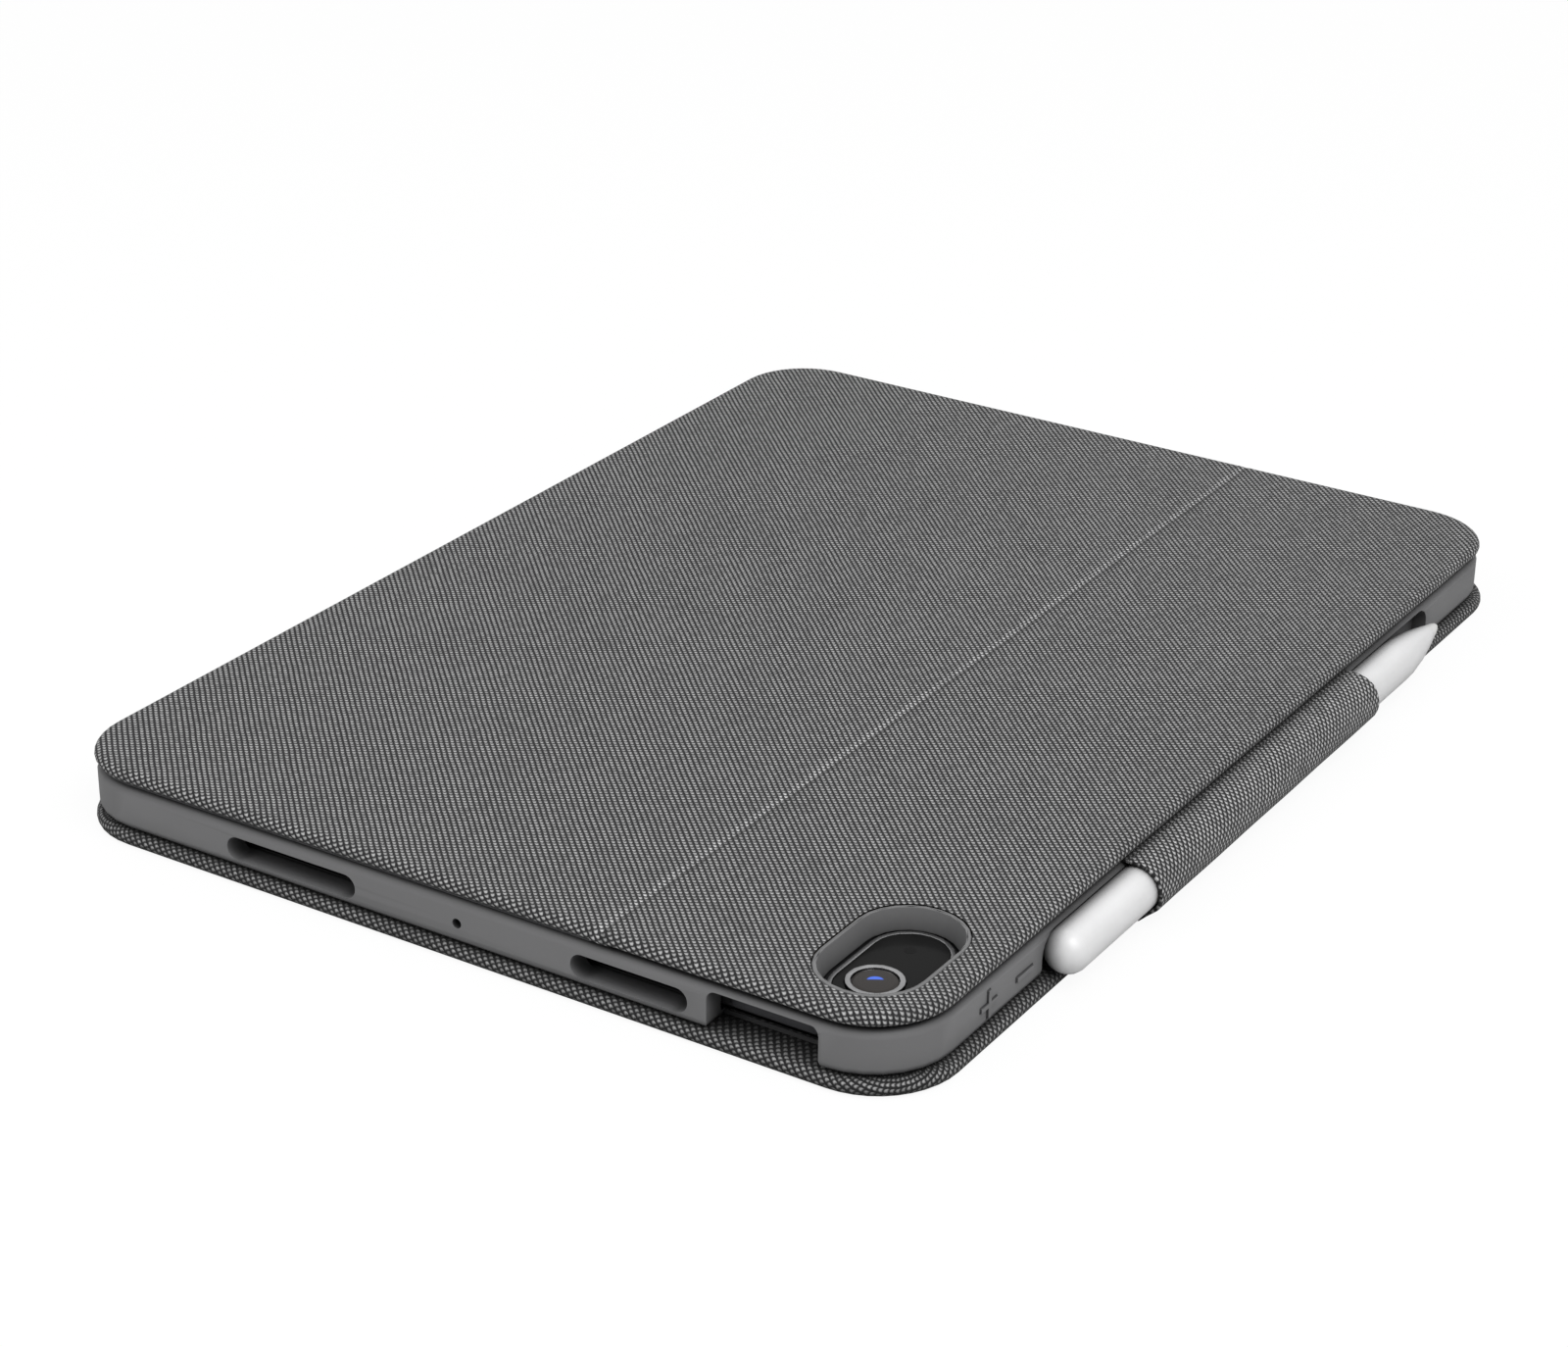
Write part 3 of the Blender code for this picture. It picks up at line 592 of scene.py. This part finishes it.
def cover_lining(lining):
    """The floor of the cover, seen in the gap round the keyboard deck."""
    deck_low, deck_high = box_mm("keyboard_deck")
    bounds = (deck_low[0] - 0.3, deck_low[1] - 0.3, deck_high[0] + 0.3, deck_high[1] + 0.3)
    tray_rings = skin_rings(bounds, (9.3,) * 4, [(8.0, 1.25, 0), (0.0, 1.25, 0)])
    tray = ring_mesh("cover_floor", tray_rings, lining)
    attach(tray, "keyboard_cover")


def spine_cloth(cloth):
    """The fabric round the spine's stiff middle."""
    low, high = box_mm("spine_strip")
    left, right = low[0], high[0]
    y0, y1, z0, z1 = low[1], high[1], low[2], high[2]
    half, mid_z = (z1 - z0) / 2, (z0 + z1) / 2
    around = []
    for i in range(24):
        angle = 2 * math.pi * i / 24
        y = (y0 + y1) / 2 + (y1 - y0) / 2 * math.copysign(abs(math.sin(angle)) ** 0.5, math.sin(angle))
        z = mid_z + half * math.copysign(abs(math.cos(angle)) ** 0.6, math.cos(angle))
        around.append((y, z, i / 24 * 11.0))
    rings = []
    ends = ((left, 0.7), (left + 0.3, 0.93), (left + 1.0, 1.0))
    for x, shrink in ends + ((0.0, 1.0),) + tuple((left + right - x, shrink) for x, shrink in ends[::-1]):
        ring = []
        for y, z, v in around:
            yy = (y0 + y1) / 2 + (y - (y0 + y1) / 2) * shrink
            zz = mid_z + (z - mid_z) * shrink
            ring.append(((x, yy, zz), (x, v)))
        rings.append(ring)
    body = ring_mesh("spine_cloth", rings, cloth, fill=("first", "last"))
    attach(body, "spine")
    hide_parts("spine_strip")


def spine_hinges(cloth):
    """The fabric hinge along each edge of the spine."""
    low, high = box_mm("spine_strip")
    left, right, z0, z1 = low[0], high[0], low[2], high[2]
    high_axis = joint_mm("holder_fold")[2]
    cover_rear = box_mm("cover_shell")[1][1]
    holder_rear = box_mm("holder_frame")[1][1]
    middle = (low[1] + high[1]) / 2
    lower = [(cover_rear - 1.0, 0.9), (cover_rear - 0.3, 0.9), (middle - 0.2, 1.2)]
    lower += [(middle + 0.15, 2.2), (middle, z0 + 0.8)]
    upper = [(middle, z1 - 0.8), (middle + 0.1, high_axis - 0.8), (middle - 0.25, high_axis + 0.2)]
    upper += [(holder_rear + 0.35, high_axis + 0.9), (holder_rear - 0.2, high_axis + 1.2)]
    upper_end = (holder_rear + 0.4, high_axis + 0.9)
    for name, line, bodies, start, end in (
        ("spine_hinge_low", lower, ("keyboard_cover", "spine"), (cover_rear - 0.4, 0.9), (middle, 3.4)),
        ("spine_hinge_high", upper, ("spine", "holder"), (middle, z1 - 0.3), upper_end),
    ):
        smooth = smooth_line(line, 5)
        rows, run = [], 0.0
        for i, (y, z) in enumerate(smooth):
            if i:
                run += math.dist(smooth[i], smooth[i - 1])
            row = []
            for k in range(41):
                x = left + 1 + (right - left - 2) * k / 40
                row.append(((x, y, z), (x, run)))
            rows.append(row)
        strip = sheet(name, rows, cloth, 0.45)
        apply_modifiers(strip)
        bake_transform(strip)


def catmull_rom(a, b, c, d, t):
    """The curve's value at t between b and c, with a before them and d after."""
    square, cube = 2 * a - 5 * b + 4 * c - d, 3 * b - a - 3 * c + d
    return 0.5 * (2 * b + (c - a) * t + square * t**2 + cube * t**3)


def smooth_line(points, steps):
    """A Catmull-Rom curve through 2-D points."""
    padded = [points[0]] + list(points) + [points[-1]]
    out = []
    for i in range(1, len(padded) - 2):
        p0, p1, p2, p3 = padded[i - 1 : i + 3]
        for k in range(steps):
            t = k / steps
            out.append(tuple(catmull_rom(a, b, c, d, t) for a, b, c, d in zip(p0, p1, p2, p3)))
    out.append(tuple(points[-1]))
    return out


def latch_cloth(cloth):
    """The strap that wraps the stylus: a folded fabric band with rounded edges."""
    low, high = box_mm("latch_strap")
    left, right = low[0], high[0]
    stylus_low, stylus_high = box_mm("stylus_body")
    cy, cz = (stylus_low[1] + stylus_high[1]) / 2, (stylus_low[2] + stylus_high[2]) / 2
    pivot_y, pivot_z = joint_mm("latch_swing")[1:]
    line = [(pivot_y, pivot_z), (pivot_y - 0.9, pivot_z - 0.02)]
    line += arc_points(cy, cz, STRAP_RADIUS, 90, 214, 12)
    line += [(-98.3, 2.7), (-96.5, 1.0)]
    line = smooth_line(line, 3)
    count = len(line)
    rows, run = [], 0.0
    columns = 46
    for i, (y, z) in enumerate(line):
        if i:
            run += math.dist(line[i], line[i - 1])
        y0, z0 = line[max(i - 1, 0)]
        y1, z1 = line[min(i + 1, count - 1)]
        length = math.hypot(y1 - y0, z1 - z0)
        ny, nz = (z1 - z0) / length, -(y1 - y0) / length
        row = []
        for k in range(columns + 1):
            x = left + (right - left) * k / columns
            swell = 0.05 * math.sin(x * 0.21 + i * 0.4) * math.sin(math.pi * i / count)
            row.append(((x, y - ny * swell, z - nz * swell), (x, -run)))
        rows.append(row)
    band = sheet("latch_cloth", rows, cloth, 0.72)
    edges = band.modifiers.new("edges", "BEVEL")
    edges.width = 0.22 * MM
    edges.segments = 2
    edges.limit_method = "ANGLE"
    edges.angle_limit = math.radians(60)
    apply_modifiers(band)
    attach(band, "latch")
    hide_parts("latch_strap")


def latch_root(cloth):
    """The short length between the panel and the strap."""
    low, high = box_mm("latch_strap")
    left, right, columns = low[0], high[0], 46
    pivot_y, pivot_z = joint_mm("latch_swing")[1:]
    start, end = pivot_y + 1.9, pivot_y - 0.15
    rows = []
    for i in range(9):
        y = start + (end - start) * i / 8
        places = [left + (right - left) * k / columns for k in range(columns + 1)]
        rows.append([((x, y, pivot_z), (x, y)) for x in places])
    root = sheet("latch_root", rows, cloth, 0.5)
    apply_modifiers(root)
    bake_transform(root)


# Materials for the CAD nodes


def dress(mat, *names):
    for name in names:
        node = NODES[name]
        node.data.materials.clear()
        node.data.materials.append(mat)


def soften(name, width, angle=35, segments=2):
    """Rounds a moulded part's edges and shades it smooth."""
    node = NODES[name]
    for polygon in node.data.polygons:
        polygon.use_smooth = True
    weld = node.modifiers.new("weld", "WELD")
    weld.merge_threshold = 0.00001
    if width:
        edge = node.modifiers.new("edge", "BEVEL")
        edge.width = width * MM
        edge.segments = segments
        edge.limit_method = "ANGLE"
        edge.angle_limit = math.radians(angle)
        edge.harden_normals = False
    split = node.modifiers.new("split", "EDGE_SPLIT")
    split.split_angle = math.radians(angle)
    normals = node.modifiers.new("normals", "WEIGHTED_NORMAL")
    normals.keep_sharp = True


def dress_frame():
    elastomer = moulded("frame_elastomer", (0.165, 0.165, 0.168), 0.52, grain=0.01)
    dress(elastomer, "holder_frame", "volume_up_button", "volume_down_button")
    soften("holder_frame", 0.25, 40)
    soften("volume_up_button", 0.12)
    soften("volume_down_button", 0.12)
    bezel = moulded("bezel_elastomer", (0.17, 0.17, 0.172), 0.5, grain=0.008)
    dress(bezel, "camera_bezel")
    soften("camera_bezel", 0.2)


def dress_tablet():
    # Painted shade: the tablet's own space grey is made darker and less metallic, for the shade inside the
    # holder's slots.
    dress(metal("tablet_metal", (0.03, 0.03, 0.032), 0.4, metallic=0.3), "tablet_body")
    soften("tablet_body", 0.0)
    dress(metal("power_metal", (0.075, 0.075, 0.08), 0.3), "tablet_power_button")
    soften("tablet_power_button", 0.25)
    dress(glossy("screen_glass", (0.008, 0.008, 0.009)), "tablet_screen")
    dress(metal("camera_rim", (0.62, 0.62, 0.63), 0.28), "camera_plate", "lens_ring")
    soften("camera_plate", 0.15)
    soften("lens_ring", 0.12)
    dress(glossy("camera_glass", (0.009, 0.009, 0.009), 0.12, coat=0.0, specular=0.1), "camera_window")


def dress_stylus():
    dress(glossy("stylus_lacquer", (0.78, 0.78, 0.785), 0.32, coat=0.1, smudge=0.04), "stylus_body")
    soften("stylus_body", 0.0, 40)
    dress(moulded("stylus_nib", (0.74, 0.74, 0.73), 0.4, grain=0.003), "stylus_tip")
    soften("stylus_tip", 0.0, 40)


def dress_keyboard():
    keycap = moulded("keycap_plastic", (0.022, 0.022, 0.024), 0.5, grain=0.02, scale=6.0)
    for name in KEY_NODES:
        dress(keycap, name)
        soften(name, 0.3, 40)
    deck = moulded("deck_plastic_grained", (0.065, 0.065, 0.068), 0.62, grain=0.04, scale=2.5)
    dress(deck, "keyboard_deck")
    soften("keyboard_deck", 0.15, 40)
    dress(glossy("trackpad_coating", (0.05, 0.05, 0.052), 0.38, coat=0.1, smudge=0.03), "trackpad_plate")
    soften("trackpad_plate", 0.15, 40)


def dress_inner_parts():
    dress(metal("plate_steel", (0.5, 0.5, 0.51), 0.35, brushed=True), "base_plate", "trackpad_switch")
    dress(metal("magnet_plating", (0.62, 0.62, 0.6), 0.25), "cover_magnet_left", "cover_magnet_right")
    dress(moulded("film", (0.6, 0.58, 0.46), 0.45, grain=0.004), "membrane_sheet")
    dress(moulded("circuit_board", (0.02, 0.12, 0.06), 0.45, grain=0.01), "controller_board")
    cable = glossy("cable_film", (0.42, 0.17, 0.03), 0.3, coat=0.3)
    dress(cable, "ribbon_cover", "ribbon_spine", "ribbon_holder")
    dress(moulded("contact_black", (0.02, 0.02, 0.02), 0.5), "contact_block")
    pins = ("contact_pin_left", "contact_pin_middle", "contact_pin_right")
    dress(metal("contact_plating", (0.83, 0.6, 0.22), 0.22), *pins)
    board = moulded("fibreboard", (0.2, 0.17, 0.14), 0.85, grain=0.05, scale=1.5)
    dress(board, "back_board", "kickstand_board")
    dress(suede("lining_suede", (0.05, 0.05, 0.053)), "kickstand_lining")
    soften("kickstand_lining", 0.1)
    dress(suede("anchor_cloth", (0.05, 0.05, 0.052)), "latch_anchor")


def lens():
    """The lens: a domed glass with a painted blue reflection that glows by emission, on the CAD lens's
    place.
    """
    low, high = box_mm("camera_lens")
    cx, cy = (low[0] + high[0]) / 2, (low[1] + high[1]) / 2
    radius = (high[0] - low[0]) / 2
    g = Graph("lens_glass_and_painted_reflection")
    place = g.vector("SUBTRACT", g.object_mm(), (cx, cy, 0.0))
    flat = g.vector("MULTIPLY", place, (1.0, 1.0, 0.0))
    reach = g.vector("LENGTH", flat)
    steps = g.math("FRACT", g.math("MULTIPLY", reach, 1.4))
    ring = g.mix(g.ramp(steps, 0.0, 0.15), (0.014, 0.012, 0.011), (0.026, 0.022, 0.02))
    # Painted reflection: a blue crescent, the coating's reflection, made to glow by emission.
    away = g.vector("DOT_PRODUCT", flat, (0.85, 0.53, 0.0))
    sideways = g.vector("DOT_PRODUCT", flat, (0.53, -0.85, 0.0))
    arch = g.vector("LENGTH", g.combine(sideways, g.math("MULTIPLY", away, 1.25)))
    glow = g.math("SUBTRACT", 1.0, g.ramp(arch, 1.25, 1.7))
    glow = g.math("MULTIPLY", glow, g.ramp(away, -0.15, 0.3))
    g.finish(
        Base_Color=ring,
        Roughness=0.12,
        Specular_IOR_Level=0.3,
        Coat_Weight=0.25,
        Coat_Roughness=0.02,
        Emission_Color=g.mix(glow, (0.0, 0.0, 0.0), (0.05, 0.17, 0.9)),
        Emission_Strength=g.math("MULTIPLY", glow, 0.95),
    )
    rings = []
    for share in (0.02, 0.2, 0.4, 0.6, 0.8, 0.93, 1.0):
        z = high[2] + 0.16 * (1 - share**2) - (0.2 if share == 1.0 else 0.0)
        circle = arc_points(cx, cy, radius * share, 0, 360 - 360 / 48, 47)
        rings.append([((x, y, z), (x, y)) for x, y in circle])
    dome = ring_mesh("lens_dome", rings, g.material)
    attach(dome, "holder")
    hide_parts("camera_lens")


def disc_row(name, centres, radius, normal_x, mat):
    """Small dark discs set on the tablet's side, painted shade standing for its speaker holes."""
    bm = bmesh.new()
    for x, y, z in centres:
        circle = [
            bm.verts.new((x * MM, (y + radius * math.cos(a)) * MM, (z + radius * math.sin(a)) * MM))
            for a in [2 * math.pi * i / 14 for i in range(14)]
        ]
        face = bm.faces.new(circle if normal_x > 0 else circle[::-1])
        face.smooth = False
    return mesh_object(name, bm, mat)


def tablet_details():
    """Speaker holes at both ends of the tablet, its microphone and the camera's microphone dot."""
    # Painted shade: the black discs stand for the dark inside the speaker and microphone holes.
    hole = moulded("hole_black", (0.002, 0.002, 0.002), 0.9, grain=0.02)
    low, high = box_mm("tablet_body")
    middle = (low[2] + high[2]) / 2 - 0.55
    for side, x, normal in (("left", low[0] - 0.02, -1), ("right", high[0] + 0.02, 1)):
        centres = []
        for y0, y1 in ((25.0, 50.4), (-47.7, -27.9)):
            count = round((y1 - y0) / 2.1)
            centres += [(x, y0 + (y1 - y0) * i / count, middle) for i in range(count + 1)]
        if side == "left":
            centres.append((x, -0.6, middle - 0.3))
        row = disc_row("speaker_holes_" + side, centres, 0.72, normal, hole)
        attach(row, "holder")
    low, high = box_mm("camera_window")
    bm = bmesh.new()
    cx, cy, z = high[0] - 6.0, (low[1] + high[1]) / 2 + 0.6, high[2] + 0.02
    circle = arc_points(cx, cy, 1.1, 0, 337.5, 15)
    bm.faces.new([bm.verts.new((x * MM, y * MM, z * MM)) for x, y in circle])
    dot = mesh_object("camera_microphone", bm, hole)
    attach(dot, "holder")


# Stage


def floor_and_light():
    bm = bmesh.new()
    bmesh.ops.create_grid(bm, x_segments=1, y_segments=1, size=20.0)
    floor = mesh_object("floor", bm, floor_paper())
    floor.location = (0, 0, -0.0002)
    follow_lowest(floor)
    studio_world()
    area_light("key", (-0.35, -0.75, 1.15), 0.9, 11.0)
    area_light("fill", (-0.9, 0.6, 0.9), 0.9, 3.8)


def floor_paper():
    """White paper, seen almost without shadow, that throws only a little light back up."""
    g = Graph("floor_paper")
    grain = g.noise(g.object_mm(), 0.2, 3.0)
    tone = g.math("ADD", g.math("MULTIPLY", grain, 0.03), 0.5)
    g.finish(Base_Color=g.combine(tone, tone, tone), Roughness=0.9, Specular_IOR_Level=0.1)
    glow = g.node("Emission")
    glow.inputs["Strength"].default_value = 1.08
    seen = g.math("MULTIPLY", g.node("LightPath").outputs["Is Camera Ray"], 0.86)
    blend = g.node("MixShader")
    g.feed(blend.inputs[0], seen)
    g.tree.links.new(g.shader.outputs[0], blend.inputs[1])
    g.tree.links.new(glow.outputs[0], blend.inputs[2])
    g.tree.links.new(blend.outputs[0], g.tree.nodes["Material Output"].inputs["Surface"])
    return g.material


def studio_world():
    """A soft room: bright overhead, dim at the horizon, and plain white behind the object."""
    world = bpy.data.worlds.new("studio")
    bpy.context.scene.world = world
    world.use_nodes = True
    tree = world.node_tree
    place = tree.nodes.new("ShaderNodeTexCoord")
    split = tree.nodes.new("ShaderNodeSeparateXYZ")
    rise = tree.nodes.new("ShaderNodeMapRange")
    for socket, value in zip(list(rise.inputs)[1:5], (0.0, 0.9, 0.2, 0.74)):
        socket.default_value = value
    path = tree.nodes.new("ShaderNodeLightPath")
    behind = tree.nodes.new("ShaderNodeMath")
    behind.operation = "MAXIMUM"
    tree.links.new(place.outputs["Generated"], split.inputs[0])
    tree.links.new(split.outputs["Z"], rise.inputs[0])
    tree.links.new(rise.outputs[0], behind.inputs[0])
    tree.links.new(path.outputs["Is Camera Ray"], behind.inputs[1])
    tree.links.new(behind.outputs[0], tree.nodes["Background"].inputs["Strength"])
    tree.nodes["Background"].inputs["Color"].default_value = (1, 1, 1, 1)


def follow_lowest(floor):
    """The floor drops when a pose folds the holder under the cover, so the object always stands on it."""
    corners = [(-0.0963, 0.0029), (0.0937, 0.0029), (-0.0963, 0.0155), (0.094, 0.0155)]
    holder = frame["bodies"]["holder"]
    curve = floor.driver_add("location", 2)
    driver = curve.driver
    driver.type = "SCRIPTED"
    for name, channel in (("h", "LOC_Z"), ("r", "ROT_X")):
        variable = driver.variables.new()
        variable.name = name
        variable.type = "TRANSFORMS"
        variable.targets[0].id = holder
        variable.targets[0].transform_type = channel
        variable.targets[0].transform_space = "WORLD_SPACE"
    terms = ", ".join("h + %.4f * sin(r) + %.4f * cos(r)" % corner for corner in corners)
    driver.expression = "min(0.0, %s) - 0.0002" % terms


def area_light(name, place, size, power):
    data = bpy.data.lights.new(name, "AREA")
    data.shape = "SQUARE"
    data.size = size
    data.energy = power
    light = bpy.data.objects.new(name, data)
    light.location = place
    light.rotation_euler = (Vector((0, 0, 0)) - Vector(place)).to_track_quat("-Z", "Y").to_euler()
    bpy.context.scene.collection.objects.link(light)
    return light


def camera():
    """A long lens, looking down over the camera corner of the case."""
    data = bpy.data.cameras.new("camera")
    data.sensor_width = 36.0
    data.lens = CAMERA_LENS
    data.clip_start, data.clip_end = 0.02, 50.0
    eye = bpy.data.objects.new("camera", data)
    bpy.context.scene.collection.objects.link(eye)
    forward = Vector(CAMERA_FORWARD).normalized()
    level = forward.to_track_quat("-Z", "Y").to_matrix().to_4x4()
    roll = Matrix.Rotation(math.radians(CAMERA_ROLL), 4, "Z")
    eye.matrix_world = Matrix.Translation(CAMERA_PLACE) @ level @ roll
    bpy.context.scene.camera = eye


def main():
    cloth = weave("grey_twill")
    fixed_skin(cloth)
    kickstand_skin(cloth)
    crease()
    # Painted shade: the cover's twill darkens further in crevices, for the deep shade round the holder's
    # frame.
    cover_cloth(weave("cover_twill", least=0.02))
    cover_lining(suede("tray_lining", (0.04, 0.04, 0.042)))
    spine_cloth(cloth)
    spine_hinges(cloth)
    # Painted light: the strap's copy of the twill has lighter beads, for the key light falling on it.
    strap = weave("strap_twill", light=(0.6, 0.6, 0.6))
    latch_cloth(strap)
    latch_root(strap)
    dress_frame()
    dress_tablet()
    dress_stylus()
    dress_keyboard()
    dress_inner_parts()
    lens()
    tablet_details()
    floor_and_light()
    camera()
    bpy.context.scene.view_settings.view_transform = "Standard"


main()
